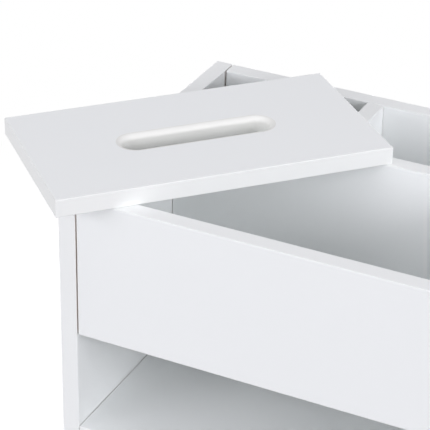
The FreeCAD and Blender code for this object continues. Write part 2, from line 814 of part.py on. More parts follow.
def make_fork(corner, braked):
    """Yoke bent from sheet: a crown over the wheel and a leg on each side of it."""
    body = corner.body("fork")
    side = new_sketch(body, "side", "YZ_Plane")
    foot = "-axle_drop - leg_end"
    draw_outline(side, [
        ("fork_nose", "crown_top"), ("fork_tail", "crown_top"), ("fork_tail", "pivot_z - brake_ear"),
        ("-caster_trail - leg_end", foot), ("leg_end - caster_trail", foot),
        ("fork_nose", "crown_base - fork_lip"),
    ])
    pad(body, "pad", side, "fork_outer", symmetric=True)
    foot_level = -number("axle_drop") - number("leg_end")

    def at_foot(edge):
        return is_straight(edge, X_AXIS) and is_near(edge.CenterOfMass.z, foot_level)

    round_edges(body, "feet", "leg_corner", at_foot)
    channel = new_sketch(body, "channel", "XZ_Plane")
    draw_rectangle(channel, "-fork_inner / 2", f"{foot} - leg_end", "fork_inner / 2", "crown_base")
    pocket_through(body, "channel", channel)
    top_level = number("crown_top")

    def at_bend(edge):
        return is_straight(edge, Y_AXIS) and is_near(edge.CenterOfMass.z, top_level)

    round_edges(body, "bend", "fork_bend", at_bend)
    pin_hole = new_sketch(body, "pin_hole", "XY_Plane")
    draw_circle(pin_hole, "0", "0", "king_pin / 2 + pin_gap")
    pocket_through(body, "pin_hole", pin_hole)
    cross_holes = new_sketch(body, "cross_holes", "YZ_Plane")
    draw_circle(cross_holes, "-caster_trail", "-axle_drop", "axle / 2 + fit_gap")
    if braked:
        draw_circle(cross_holes, "pivot_y", "pivot_z", "brake_pin / 2 + fit_gap")
    pocket_through(body, "cross_holes", cross_holes)
    corner.finish(body)


def make_axle(corner):
    body = corner.body("axle")
    section = new_sketch(body, "section", "XY_Plane")
    leg = "fork_outer / 2"
    head = f"-{leg} - axle_head_height"
    tail = f"{leg} + axle_head_height"
    draw_outline(section, [
        (head, "0"), (head, "axle_head / 3"), (f"-{leg}", "axle_head / 2"), (f"-{leg}", "axle / 2"),
        (leg, "axle / 2"), (leg, "axle_tail / 2"), (tail, "axle_tail / 3"), (tail, "0"),
    ])
    turn(body, "turn", section, "H_Axis")
    corner.finish(body, "-caster_trail", "-axle_drop")


def make_hub(corner):
    """Wheel body: boss, web with round holes, and the rim that carries the tread."""
    body = corner.body("wheel_hub")
    section = new_sketch(body, "section", "XY_Plane")
    bore = "axle / 2 + pin_gap"
    boss = "hub_boss / 2"
    rim_inner = "hub_radius - hub_rim"
    boss_end = "wheel_width / 2 + hub_boss_out"
    half = [
        (boss_end, bore), (boss_end, boss), ("hub_web / 2", boss), ("hub_web / 2", rim_inner),
        ("hub_rim_width / 2", rim_inner), ("hub_rim_width / 2", "hub_radius"),
    ]
    mirrored = [(f"-({x})", radius) for x, radius in reversed(half)]
    draw_outline(section, half + mirrored)
    turn(body, "turn", section, "H_Axis")
    hole = new_sketch(body, "hole", "YZ_Plane")
    draw_circle(hole, "0", f"({boss} + {rim_inner}) / 2", "hub_hole / 2")
    cut = pocket_through(body, "hole", hole)
    pattern = body.newObject("PartDesign::PolarPattern", f"{body.Name}_holes")
    pattern.Originals = [cut]
    pattern.Axis = (hole, ["N_Axis"])
    pattern.setExpression("Occurrences", formula("hub_hole_count"))
    body.Tip = pattern
    corner.finish(body, "-caster_trail", "-axle_drop")


def make_tread(corner):
    body = corner.body("wheel_tread")
    section = new_sketch(body, "section", "XY_Plane")
    draw_rectangle(section, "-wheel_width / 2", "wheel_radius - tread_thick",
                   "wheel_width / 2", "wheel_radius")
    turn(body, "turn", section, "H_Axis")
    outer = number("wheel_radius")
    round_edges(body, "shoulders", "tread_round",
                lambda edge: edge.Curve.TypeId == "Part::GeomCircle" and is_near(edge.Curve.Radius, outer))
    corner.finish(body, "-caster_trail", "-axle_drop")


def make_brake_pin(corner):
    pin = document.addObject("Part::Cylinder", f"brake_pin_{corner.label}")
    pin.setExpression("Radius", formula("brake_pin / 2"))
    pin.setExpression("Height", formula("fork_outer"))
    pin.Placement = Placement(Vector(), Rotation(Z_AXIS, X_AXIS))
    place(pin, f"{corner.x} - fork_outer / 2", f"{corner.y} + pivot_y", "caster_height + pivot_z")
    add_node(pin, pin.Name)


def make_brake_lever(corner):
    """Lever on its pivot: barrel, nose that presses the tread, arm and ribbed pedal."""
    body = corner.body("brake_lever")
    inside = "fork_inner - 2 * lever_side_gap"
    barrel = new_sketch(body, "barrel", "YZ_Plane")
    draw_circle(barrel, "0", "0", "barrel_radius")
    pad(body, "barrel", barrel, inside, symmetric=True)
    nose = new_sketch(body, "nose", "YZ_Plane")
    lean = "(brake_angle - brake_swing) * 1 deg"
    draw_circle(nose, f"nose_reach * sin({lean})", f"-nose_reach * cos({lean})", "nose_radius")
    pad(body, "nose", nose, inside, symmetric=True)
    pedal_near = "-brake_ear - pedal_gap"
    pedal_far = f"{pedal_near} - pedal_length"
    arm = new_sketch(body, "arm", "YZ_Plane")
    draw_rectangle(arm, pedal_far, "-lever_sheet / 2", "0", "lever_sheet / 2")
    pad(body, "arm", arm, inside, symmetric=True)
    pedal = new_sketch(body, "pedal", "YZ_Plane")
    draw_rectangle(pedal, pedal_far, "-lever_sheet / 2", pedal_near, "lever_sheet / 2")
    pad(body, "pedal", pedal, "pedal_width", symmetric=True)
    far = -number("brake_ear") - number("pedal_gap") - number("pedal_length")
    round_edges(body, "pedal_round", "pedal_round",
                lambda edge: is_straight(edge, Z_AXIS) and is_near(edge.CenterOfMass.y, far))
    rib = new_sketch(body, "rib", "XY_Plane", "lever_sheet / 2")
    rib_front = f"{pedal_far} + pedal_round"
    draw_rectangle(rib, "-pedal_width / 3", rib_front, "pedal_width / 3", f"{rib_front} + pedal_rib")
    ridge = pad(body, "rib", rib, "pedal_rib / 2")
    pattern = body.newObject("PartDesign::LinearPattern", f"{body.Name}_ribs")
    pattern.Originals = [ridge]
    pattern.Direction = (rib, ["V_Axis"])
    pattern.setExpression("Length", formula("pedal_length - 2 * pedal_round"))
    pattern.setExpression("Occurrences", formula("pedal_rib_count"))
    body.Tip = pattern
    bore = new_sketch(body, "bore", "YZ_Plane")
    draw_circle(bore, "0", "0", "brake_pin / 2 + pin_gap")
    pocket_through(body, "bore", bore)
    corner.finish(body, "pivot_y", "pivot_z")


def make_casters():
    for label, (side, row) in CORNERS.items():
        corner = Corner(label, side, row)
        braked = label in BRAKED_CORNERS
        make_plate(corner)
        make_king_pin(corner)
        make_washer(corner)
        make_fork(corner, braked)
        make_axle(corner)
        make_hub(corner)
        make_tread(corner)
        if braked:
            make_brake_pin(corner)
            make_brake_lever(corner)


def make_cabinet():
    make_blanks()
    groups = {
        "wood_dowels": make_dowel(),
        "cam_locks": make_cam(),
        "cam_bolts": make_cam_bolt(),
        "cleat_screws": make_cleat_screw(),
        "caster_screws": make_plate_screw(),
    }
    document.recompute()
    fittings = {label: Fittings(label, pattern) for label, pattern in groups.items()}
    join_boards(fittings["wood_dowels"], fittings["cam_locks"], fittings["cam_bolts"])
    screw_cleats(fittings["cleat_screws"])
    screw_plates(fittings["caster_screws"])
    finish_boards()
    for group in fittings.values():
        group.finish()
    make_cabinet_bands()


def check_model():
    """Stop before anything is written if an object failed or a shape is unsound."""
    failed = [item.Name for item in document.Objects if {"Invalid", "Error"} & set(item.State)]
    unsound = [label for label, item in nodes.items() if item.Shape.isNull() or not item.Shape.isValid()]
    if failed or unsound:
        raise RuntimeError(f"failed objects: {failed}; unsound shapes: {unsound}")


make_cabinet()
make_lid()
make_casters()
document.recompute()
check_model()

os.makedirs("parts", exist_ok=True)
for label, item in nodes.items():
    item.Shape.exportStep(f"parts/{label}.step")
print(f"{len(nodes)} sub-parts written")
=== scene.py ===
import math

import bmesh
import bpy
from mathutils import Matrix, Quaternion, Vector


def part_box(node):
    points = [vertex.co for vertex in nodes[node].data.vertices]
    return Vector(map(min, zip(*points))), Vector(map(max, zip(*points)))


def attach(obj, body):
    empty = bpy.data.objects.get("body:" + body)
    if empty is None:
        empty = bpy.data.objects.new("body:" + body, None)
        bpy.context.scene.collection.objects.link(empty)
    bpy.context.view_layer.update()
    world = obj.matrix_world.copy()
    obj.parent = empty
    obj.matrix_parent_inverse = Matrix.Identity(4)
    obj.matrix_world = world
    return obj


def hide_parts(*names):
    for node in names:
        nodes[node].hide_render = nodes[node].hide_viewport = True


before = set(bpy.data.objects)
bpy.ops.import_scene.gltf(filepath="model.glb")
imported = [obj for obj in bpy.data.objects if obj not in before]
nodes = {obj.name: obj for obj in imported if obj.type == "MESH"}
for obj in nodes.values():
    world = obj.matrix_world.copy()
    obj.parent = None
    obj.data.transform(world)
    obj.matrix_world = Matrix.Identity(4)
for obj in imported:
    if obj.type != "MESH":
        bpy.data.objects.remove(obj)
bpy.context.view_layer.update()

scene = bpy.context.scene
corners = ("front_left", "front_right", "rear_left", "rear_right")
brakedCorners = corners[:2]
print("frame loaded:", len(nodes), "nodes")


# Node trees

class Field:                                   # a socket that takes plain maths
    def __init__(self, tree, socket):
        self.tree = tree
        self.socket = socket

    def maths(self, operation, *values):
        return self.tree.node("ShaderNodeMath", {"operation": operation}, dict(enumerate(values)))

    def pick(self, name):                      # another output of the same node
        return Field(self.tree, self.socket.node.outputs[name])

    def __add__(self, other):
        return self.maths("ADD", self, other)

    def __radd__(self, other):
        return self.maths("ADD", other, self)

    def __sub__(self, other):
        return self.maths("SUBTRACT", self, other)

    def __rsub__(self, other):
        return self.maths("SUBTRACT", other, self)

    def __mul__(self, other):
        return self.maths("MULTIPLY", self, other)

    def __rmul__(self, other):
        return self.maths("MULTIPLY", other, self)

    def __truediv__(self, other):
        return self.maths("DIVIDE", self, other)

    def __pow__(self, other):
        return self.maths("POWER", self, other)

    def __lt__(self, other):
        return self.maths("LESS_THAN", self, other)

    def __gt__(self, other):
        return self.maths("GREATER_THAN", self, other)

    def __abs__(self):
        return self.maths("ABSOLUTE", self)


class NodeTree:                                # adds nodes: settings first, then sockets
    def __init__(self, tree):
        self.tree = tree

    def node(self, kind, settings=None, sockets=None, output=None):
        made = self.tree.nodes.new(kind)
        for name, value in (settings or {}).items():
            if name == "stops":
                self.fillRamp(made.color_ramp, value)
            else:
                setattr(made, name, value)
        for name, value in (sockets or {}).items():
            target = next(s for i, s in enumerate(made.inputs) if name in (i, s.name) and s.enabled)
            for item in value if isinstance(value, list) else [value]:
                if isinstance(item, Field):
                    self.tree.links.new(item.socket, target)
                else:
                    target.default_value = item
        results = [s for s in made.outputs if s.enabled and output in (None, s.name)]
        return Field(self, results[0]) if results else None

    def fillRamp(self, ramp, stops):
        while len(ramp.elements) < len(stops):
            ramp.elements.new(1)
        for element, (position, colour) in zip(ramp.elements, stops):
            element.position = position
            element.color = (*colour, 1)

    def objectPlace(self):
        return self.node("ShaderNodeTexCoord", output="Object")

    def facing(self):                          # the way the surface points
        return self.node("ShaderNodeTexCoord", output="Normal")

    def moved(self, place, centre=(0, 0, 0), turn=(0, 0, 0), scale=(1, 1, 1)):
        return self.node("ShaderNodeMapping", {"vector_type": "TEXTURE"},
                         {"Vector": place, "Location": centre, "Rotation": turn, "Scale": scale})

    def axis(self, place, letter):
        return self.node("ShaderNodeSeparateXYZ", None, {"Vector": place}, letter)

    def noise(self, place, scale, detail=2, rough=0.5):
        return self.node("ShaderNodeTexNoise", None,
                         {"Vector": place, "Scale": scale, "Detail": detail, "Roughness": rough})

    def cells(self, place, scale):             # a random colour for each cell
        return self.node("ShaderNodeTexVoronoi", None, {"Vector": place, "Scale": scale}, "Color")

    def ease(self, value, low, high):          # smooth step from 0 at low to 1 at high
        return self.node("ShaderNodeMapRange", {"interpolation_type": "SMOOTHSTEP"},
                         {"Value": value, "From Min": low, "From Max": high})

    def ramp(self, value, stops):
        return self.node("ShaderNodeValToRGB", {"stops": stops}, {"Fac": value}, "Color")

    def mixColour(self, factor, first, second):
        pair = [colour if isinstance(colour, Field) else (*colour, 1) for colour in (first, second)]
        return self.node("ShaderNodeMix", {"data_type": "RGBA"},
                         {"Factor": factor, "A": pair[0], "B": pair[1]})

    def bump(self, height, depth):
        return self.node("ShaderNodeBump", None, {"Height": height, "Distance": depth})

    def surface(self, **sockets):
        names = {"colour": "Base Color", "rough": "Roughness", "metal": "Metallic", "normal": "Normal"}
        shader = self.node("ShaderNodeBsdfPrincipled", None,
                           {names[name]: value for name, value in sockets.items()})
        self.node("ShaderNodeOutputMaterial", None, {"Surface": shader})

    def vector(self, x, y, z):
        return self.node("ShaderNodeCombineXYZ", None, {"X": x, "Y": y, "Z": z})

    def position(self):
        place = self.node("GeometryNodeInputPosition")
        return [self.axis(place, letter) for letter in "XYZ"]

    def stored(self, name):                    # a vector kept on the points
        return self.node("GeometryNodeInputNamedAttribute", {"data_type": "FLOAT_VECTOR"},
                         {"Name": name})

    def cylinder(self, around, along=1, radius=1.0, depth=1.0):
        return self.node("GeometryNodeMeshCylinder", None, {
            "Vertices": around, "Side Segments": along, "Radius": radius, "Depth": depth}, "Mesh")

    def shaped(self, geometry, place):
        return self.node("GeometryNodeSetPosition", None, {"Geometry": geometry, "Position": place})

    def shifted(self, geometry, way, turn=(0, 0, 0)):
        return self.node("GeometryNodeTransform", None,
                         {"Geometry": geometry, "Translation": way, "Rotation": turn})


def newFinish(name):
    finish = bpy.data.materials.new(name)
    finish.use_nodes = True
    finish.node_tree.nodes.clear()
    return finish, NodeTree(finish.node_tree)


def dress(node, finish):
    for slot in nodes[node].material_slots:
        slot.material = finish


# Measures taken from the frame

def middle(node):
    low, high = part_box(node)
    return (low + high) / 2


def thinAxis(node):                            # the board's thickness: 0, 1 or 2
    low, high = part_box(node)
    size = high - low
    return min(range(3), key=lambda index: size[index])


weldGap = 1e-6                                 # vertices closer than this are one


def solidBoxes(node):                          # low and high corner of each solid in a node
    mesh = bmesh.new()
    mesh.from_mesh(nodes[node].data)
    bmesh.ops.remove_doubles(mesh, verts=mesh.verts, dist=weldGap)
    waiting = set(mesh.verts)
    boxes = []
    while waiting:
        reached = [waiting.pop()]
        island = []
        while reached:
            vertex = reached.pop()
            island.append(vertex.co.copy())
            near = {edge.other_vert(vertex) for edge in vertex.link_edges} & waiting
            waiting -= near
            reached.extend(near)
        boxes.append((Vector(map(min, *island)), Vector(map(max, *island))))
    mesh.free()
    return sorted(boxes, key=lambda box: tuple(box[0]))    # in the same order on every run


def sizeOfOne(boxes):                          # for a node whose solids are all alike
    low, high = boxes[0]
    return high - low


# Camera, at the photograph's viewing angle

viewpoint = {
    "place": (0.51113, -1.29776, 1.36958),
    "target": (-0.04785, -0.1204, 0.64),       # where the line of sight meets the rim
    "roll": 1.291,                             # degrees
    "lens": 154.7,
}


def makeCamera():
    data = bpy.data.cameras.new("camera")
    data.lens = viewpoint["lens"]
    camera = bpy.data.objects.new("camera", data)
    scene.collection.objects.link(camera)
    camera.location = viewpoint["place"]
    sight = Vector(viewpoint["target"]) - camera.location
    roll = Quaternion((0, 0, 1), math.radians(viewpoint["roll"]))
    camera.rotation_mode = "QUATERNION"
    camera.rotation_quaternion = sight.to_track_quat("-Z", "Y") @ roll
    scene.camera = camera


# Floor, daylight and softboxes

studio = {
    "floorRadius": 9.0,
    "floorSides": 96,
    "floorColour": (0.8, 0.8, 0.8, 1),
    "bounceColour": (0.25, 0.25, 0.25, 1),     # how much of the light the floor sends back up
    "lift": 0.55,                              # added to the floor as it is seen, so that it reads white
    "nearWhite": 0.75,                         # from here outward the floor goes to plain white
    "farWhite": 1.35,
    "fill": 0.3,                               # light from all round
    "aim": (0, 0, 0.5),                        # what the softboxes point at
    "tint": (0.975, 0.960, 1.0),               # cool daylight
}

softboxes = {
    "frontSoftbox": {"place": (0.32, -4.32, 2.74), "size": (2.88, 2.24), "power": 43},
    "leftSoftbox": {"place": (-3.04, -3.68, 1.62), "size": (2.56, 2.56), "power": 98},
    "cornerSoftbox": {"place": (4.16, -2.08, 2.02), "size": (2.08, 1.92), "power": 98},
    "rightSoftbox": {"place": (4.48, -0.32, 2.5), "size": (2.24, 1.92), "power": 33},
    "topSoftbox": {"place": (0.16, -0.16, 4.34), "size": (2.56, 2.56), "power": 32},
    "rearSoftbox": {"place": (-0.9, 4.6, 0.33), "size": (6.4, 0.58), "power": 90},
}


def isSeen(tree):                              # seen straight, in a reflection or through glass
    path = tree.node("ShaderNodeLightPath")
    rays = path.pick("Is Camera Ray") + path.pick("Is Glossy Ray") + path.pick("Is Transmission Ray")
    return rays > 0


def makeFloor():
    finish, tree = newFinish("paleFloor")
    away = tree.node("ShaderNodeVectorMath", {"operation": "LENGTH"},
                     {0: tree.objectPlace()}, "Value")
    white = tree.ease(away, studio["nearWhite"], studio["farWhite"])
    bounce = tree.node("ShaderNodeBsdfDiffuse", None, {"Color": studio["bounceColour"]})
    plain = tree.node("ShaderNodeBsdfDiffuse", None, {"Color": studio["floorColour"]})
    glow = tree.node("ShaderNodeEmission", None, {"Strength": studio["lift"]})
    lifted = tree.node("ShaderNodeAddShader", None, {0: plain, 1: glow})
    paper = tree.node("ShaderNodeEmission", None, {"Strength": 1.0})
    shown = tree.node("ShaderNodeMixShader", None, {0: white, 1: lifted, 2: paper})
    floorShader = tree.node("ShaderNodeMixShader", None, {0: isSeen(tree), 1: bounce, 2: shown})
    tree.node("ShaderNodeOutputMaterial", None, {"Surface": floorShader})
    shape = bmesh.new()
    bmesh.ops.create_circle(shape, cap_ends=True, segments=studio["floorSides"],
                            radius=studio["floorRadius"])
    mesh = bpy.data.meshes.new("floor")
    shape.to_mesh(mesh)
    shape.free()
    mesh.materials.append(finish)
    floor = bpy.data.objects.new("floor", mesh)
    scene.collection.objects.link(floor)


def makeDaylight():
    world = bpy.data.worlds.new("studio")
    scene.world = world
    world.use_nodes = True
    world.node_tree.nodes.clear()
    tree = NodeTree(world.node_tree)
    fill = tree.node("ShaderNodeBackground", None,
                     {"Color": (*studio["tint"], 1), "Strength": studio["fill"]})
    paper = tree.node("ShaderNodeBackground", None, {"Color": (1, 1, 1, 1), "Strength": 1.0})
    mixed = tree.node("ShaderNodeMixShader", None, {0: isSeen(tree), 1: fill, 2: paper})
    tree.node("ShaderNodeOutputWorld", None, {"Surface": mixed})


def makeSoftboxes():
    for name, box in softboxes.items():
        data = bpy.data.lights.new(name, "AREA")
        data.shape = "RECTANGLE"
        data.size, data.size_y = box["size"]
        data.energy = box["power"]
        data.color = studio["tint"]
        lamp = bpy.data.objects.new(name, data)
        scene.collection.objects.link(lamp)
        lamp.location = box["place"]
        sight = Vector(studio["aim"]) - lamp.location
        lamp.rotation_mode = "QUATERNION"
        lamp.rotation_quaternion = sight.to_track_quat("-Z", "Y")


scene.view_settings.view_transform = "Standard"
makeCamera()
makeFloor()
makeDaylight()
makeSoftboxes()
print("studio ready")


# White laminated boards

laminate = {
    "white": (0.912, 0.937, 0.933),
    "shade": (0.904, 0.929, 0.926),            # faint clouds in the white
    "cloudScale": 7,
    "rough": 0.42,
    "peelScale": 2400,                         # fine orange peel of the pressed paper
    "peelDepth": 0.00002,
    "peelRough": 0.08,
    "skin": 0.00018,                           # thickness of the laminate
    "chipScale": 620,                          # chips of the raw core
    "chipDepth": 0.0002,
    "chipRough": 0.45,
    "chips": [(0.0, (0.16, 0.085, 0.045)), (0.35, (0.34, 0.20, 0.11)),
              (0.7, (0.50, 0.33, 0.19)), (1.0, (0.60, 0.43, 0.27))],
}
boards = ("left_side", "right_side", "front_apron", "rear_apron", "bin_partition", "rear_divider",
          "tray_floor", "upper_shelf", "lower_shelf", "base_board", "rear_sheet_panel")
cleats = ("lid_cleat_left", "lid_cleat_right")


def laminateWhite(tree, place):
    cloud = tree.noise(place, laminate["cloudScale"])
    return tree.mixColour(cloud, laminate["shade"], laminate["white"])


def rawCore(tree, place, node):                # 1 between the board's two laminated faces
    low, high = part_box(node)
    thin = thinAxis(node)
    halfCore = (high[thin] - low[thin]) / 2 - laminate["skin"]
    return abs(tree.axis(place, "XYZ"[thin]) - middle(node)[thin]) < halfCore


def boardSurface(tree, place, white, core):
    chip = tree.cells(place, laminate["chipScale"])
    chips = tree.ramp(tree.axis(chip, "X"), laminate["chips"])
    peel = tree.noise(place, laminate["peelScale"])
    pressed = peel * (1 - core) * laminate["peelDepth"]
    sawn = tree.axis(chip, "Y") * core * laminate["chipDepth"]
    tree.surface(
        colour=tree.mixColour(core, white, chips),
        rough=laminate["rough"] + laminate["peelRough"] * peel + laminate["chipRough"] * core,
        normal=tree.bump(pressed + sawn, 1.0),     # these heights are in metres
    )


def dressBoards():
    for node in boards:
        finish, tree = newFinish("whiteBoard_" + node)
        place = tree.objectPlace()
        boardSurface(tree, place, laminateWhite(tree, place), rawCore(tree, place, node))
        dress(node, finish)


def dressCleats():                             # strips wrapped in white on all sides
    finish, tree = newFinish("whiteCleat")
    place = tree.objectPlace()
    peel = tree.noise(place, laminate["peelScale"])
    tree.surface(
        colour=laminateWhite(tree, place),
        rough=laminate["rough"] + laminate["peelRough"] * peel,
        normal=tree.bump(peel, laminate["peelDepth"]),
    )
    for node in cleats:
        dress(node, finish)


# Lid with its painted tissue slot

lid = {
    "slotPaintAndShade": (0.820, 0.828, 0.797),            # warmer than the laminate, and darker than it as painted shade in the slot
    "margin": 0.005,                           # the slot lies at least this far inside the outline
    "seam": 0.0001,                            # the paint reaches this far past the slot's mouth
}


def lidFrame():                                # centre and turn of the lid as it lies
    places = [vertex.co for vertex in nodes["lid_edge_bands"].data.vertices]
    left = min(places, key=lambda place: place.x)
    rear = max(places, key=lambda place: place.y)
    return middle("lid_edge_bands"), math.atan2(rear.y - left.y, rear.x - left.x)


def slotReach(centre, turn):                   # half length and half width of the slot's mouth
    back = Quaternion((0, 0, 1), -turn)
    flat = [back @ (vertex.co - centre) for vertex in nodes["tissue_lid"].data.vertices]
    length = max(place.x for place in flat) - lid["margin"]
    width = max(place.y for place in flat) - lid["margin"]
    inner = [place for place in flat if abs(place.x) < length and abs(place.y) < width]
    return max(place.x for place in inner), max(place.y for place in inner)


def dressLid():
    centre, turn = lidFrame()
    halfLength, halfWidth = slotReach(centre, turn)
    finish, tree = newFinish("whiteBoard_tissue_lid")
    place = tree.objectPlace()
    local = tree.moved(place, centre, (0, 0, turn))
    along = abs(tree.axis(local, "X")) - (halfLength - halfWidth)
    past = along * (along > 0)                 # into the slot's round end
    side = tree.axis(local, "Y")
    fromMiddle = (past * past + side * side) ** 0.5
    painted = fromMiddle < halfWidth + lid["seam"]
    # the slot's colour is a real warmer paint, made darker as painted shade in the slot
    white = tree.mixColour(painted, laminateWhite(tree, place), lid["slotPaintAndShade"])
    boardSurface(tree, place, white, rawCore(tree, place, "tissue_lid") * (1 - painted))
    dress("tissue_lid", finish)


# Edge bands

edgeTape = {
    "cloudScale": 12,
    "rough": 0.36,
    "drawScale": 900,                          # fine marks of the drawn tape
    "drawDepth": 0.000012,
    "drawRough": 0.08,
    "sideLean": (0.1, 0.4),                    # lean at which an upright face turns into a trimmed corner
    "topLean": (0.8, 0.97),                    # and the corner into a level face
}
edgeBands = {
    "edgeBand": {
        "node": "edge_bands",
        "white": (0.908, 0.931, 0.922),
        "shade": (0.900, 0.923, 0.915),
        "cornerShade": (0.808, 0.830, 0.822),      # painted shade: the tape's rounded corners are darker, holding down their highlight
    },
    "lidBandShaded": {
        "node": "lid_edge_bands",
        # painted shade: the lid's tape is a darker copy of the cabinet's tape, to hold down its bright
        # front edge
        "white": (0.888, 0.907, 0.892),
        "shade": (0.880, 0.899, 0.885),
        "cornerShade": (0.821, 0.838, 0.825),
    },
}


def dressBands():
    for name, band in edgeBands.items():
        finish, tree = newFinish(name)
        place = tree.objectPlace()
        draw = tree.noise(place, edgeTape["drawScale"])
        # the rounded corners take a darker colour, a painted shade that holds down their highlight
        lean = abs(tree.axis(tree.facing(), "Z"))
        corner = tree.ease(lean, *edgeTape["sideLean"]) - tree.ease(lean, *edgeTape["topLean"])
        cloud = tree.noise(place, edgeTape["cloudScale"])
        tape = tree.mixColour(cloud, band["shade"], band["white"])
        tree.surface(
            colour=tree.mixColour(corner, tape, band["cornerShade"]),
            rough=edgeTape["rough"] + edgeTape["drawRough"] * draw,
            normal=tree.bump(draw, edgeTape["drawDepth"]),
        )
        dress(band["node"], finish)


dressBoards()
dressCleats()
dressLid()
dressBands()
print("boards and bands dressed")


# Steel, zinc, wood and plastic

steel = {
    "blue": (0.56, 0.58, 0.62),
    "warm": (0.63, 0.62, 0.58),
    "spangleScale": 160,
    "cloudScale": 40,
    "rough": 0.27,
    "sheenScale": 70,
    "sheenRough": 0.12,
    "grainScale": 2600,
    "grainDetail": 3,
    "grainDepth": 0.00001,
    "grainRough": 0.06,
}


def platedSteel():
    finish, tree = newFinish("platedSteel")
    place = tree.objectPlace()
    spangle = tree.axis(tree.cells(place, steel["spangleScale"]), "X")
    tint = (spangle + tree.noise(place, steel["cloudScale"])) / 2
    sheen = tree.noise(place, steel["sheenScale"])
    grain = tree.noise(place, steel["grainScale"], steel["grainDetail"])
    tree.surface(
        colour=tree.mixColour(tint, steel["blue"], steel["warm"]),
        metal=1.0,
        rough=steel["rough"] + steel["sheenRough"] * sheen + steel["grainRough"] * grain,
        normal=tree.bump(grain, steel["grainDepth"]),
    )
    return finish


zinc = {
    "dark": (0.40, 0.41, 0.43),
    "light": (0.55, 0.56, 0.57),
    "cloudScale": 120,
    "rough": 0.46,
    "grainScale": 1500,
    "grainDetail": 3,
    "grainDepth": 0.00003,
    "grainRough": 0.15,
}


def zincCasting():
    finish, tree = newFinish("zincCasting")
    place = tree.objectPlace()
    cloud = tree.noise(place, zinc["cloudScale"])
    grain = tree.noise(place, zinc["grainScale"], zinc["grainDetail"])
    tree.surface(
        colour=tree.mixColour(cloud, zinc["dark"], zinc["light"]),
        metal=1.0,
        rough=zinc["rough"] + zinc["grainRough"] * grain,
        normal=tree.bump(grain, zinc["grainDepth"]),
    )
    return finish


beech = {
    "stops": [(0.0, (0.42, 0.25, 0.13)), (0.5, (0.60, 0.40, 0.23)), (1.0, (0.70, 0.50, 0.31))],
    "stretch": (0.12, 1, 1),                   # the grain runs along the dowel
    "rough": 0.55,
    "grainScale": 520,
    "grainDetail": (4, 0.6),                   # octaves, and how much each one keeps
    "grainDepth": 0.00006,
    "grainRough": 0.2,
}


def beechWood():
    finish, tree = newFinish("beechWood")
    place = tree.moved(tree.objectPlace(), scale=tuple(1 / part for part in beech["stretch"]))
    grain = tree.noise(place, beech["grainScale"], *beech["grainDetail"])
    tree.surface(
        colour=tree.ramp(grain, beech["stops"]),
        rough=beech["rough"] + beech["grainRough"] * grain,
        normal=tree.bump(grain, beech["grainDepth"]),
    )
    return finish


mouldPits = {"detail": 3, "depth": 0.00004, "rough": 0.15}
plastics = {
    "washerNylon": {
        "light": (0.74, 0.73, 0.68),
        "dark": (0.68, 0.67, 0.62),
        "rough": 0.38,
        "pitScale": 300,
    },
    "pedalPlastic": {
        "light": (0.034, 0.034, 0.036),
        "dark": (0.022, 0.022, 0.024),
        "rough": 0.42,
        "pitScale": 1400,
    },
}


def mouldedPlastic(name):
    look = plastics[name]
    finish, tree = newFinish(name)
    pits = tree.noise(tree.objectPlace(), look["pitScale"], mouldPits["detail"])
    tree.surface(
        colour=tree.mixColour(pits, look["dark"], look["light"]),
        rough=look["rough"] + mouldPits["rough"] * pits,
        normal=tree.bump(pits, mouldPits["depth"]),
    )
    return finish


# Wheels, with their patterns centred on each axle

def fromWheel(tree, place, corner):            # a place as seen from the middle of a wheel
    return tree.moved(place, middle("wheel_tread_" + corner))


hub = {
    "light": (0.30, 0.31, 0.32),
    "dark": (0.24, 0.25, 0.26),
    "cloudScale": 90,
    "rough": 0.4,
    "pitScale": 1200,
    "pitDepth": 0.00002,
    "pitRough": 0.12,
    "ringScale": 900,                          # fine turned rings of the mould in one metre
    "ringShare": 0.25,                         # their height against the pits
}


def hubPlastic(corner):
    finish, tree = newFinish("hubPlastic_" + corner)
    place = tree.objectPlace()
    local = fromWheel(tree, place, corner)
    back = tree.axis(local, "Y")
    up = tree.axis(local, "Z")
    away = (back * back + up * up) ** 0.5      # distance from the axle
    ring = away.maths("SINE", away * (2 * math.pi * hub["ringScale"]))
    cloud = tree.noise(place, hub["cloudScale"])
    pits = tree.noise(place, hub["pitScale"])
    tree.surface(
        colour=tree.mixColour(cloud, hub["dark"], hub["light"]),
        rough=hub["rough"] + hub["pitRough"] * pits,
        normal=tree.bump(pits + hub["ringShare"] * ring, hub["pitDepth"]),
    )
    return finish


tread = {
    "dark": (0.040, 0.041, 0.043),
    "dust": (0.13, 0.13, 0.128),
    "rolled": (0.35, 0.75),                    # shares of the half width where the dusty track fades
    "patchScale": 260,
    "patchDetail": 4,
    "patchEdge": (0.42, 0.68),
    "dustShare": 0.7,
    "rough": 0.62,
    "patchRough": 0.2,
    "pitScale": 1800,
    "pitDetail": 3,
    "pitDepth": 0.00005,
}


def treadRubber(corner):
    finish, tree = newFinish("treadRubber_" + corner)
    place = tree.objectPlace()
    along = abs(tree.axis(fromWheel(tree, place, corner), "X"))
    low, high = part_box("wheel_tread_" + corner)
    halfWidth = (high.x - low.x) / 2
    rolled = 1 - tree.ease(along, *(share * halfWidth for share in tread["rolled"]))
    dust = tree.noise(place, tread["patchScale"], tread["patchDetail"])
    patches = tree.ease(dust, *tread["patchEdge"])
    pits = tree.noise(place, tread["pitScale"], tread["pitDetail"])
    tree.surface(
        colour=tree.mixColour(rolled * patches * tread["dustShare"], tread["dark"], tread["dust"]),
        rough=tread["rough"] + tread["patchRough"] * patches,
        normal=tree.bump(pits, tread["pitDepth"]),
    )
    return finish


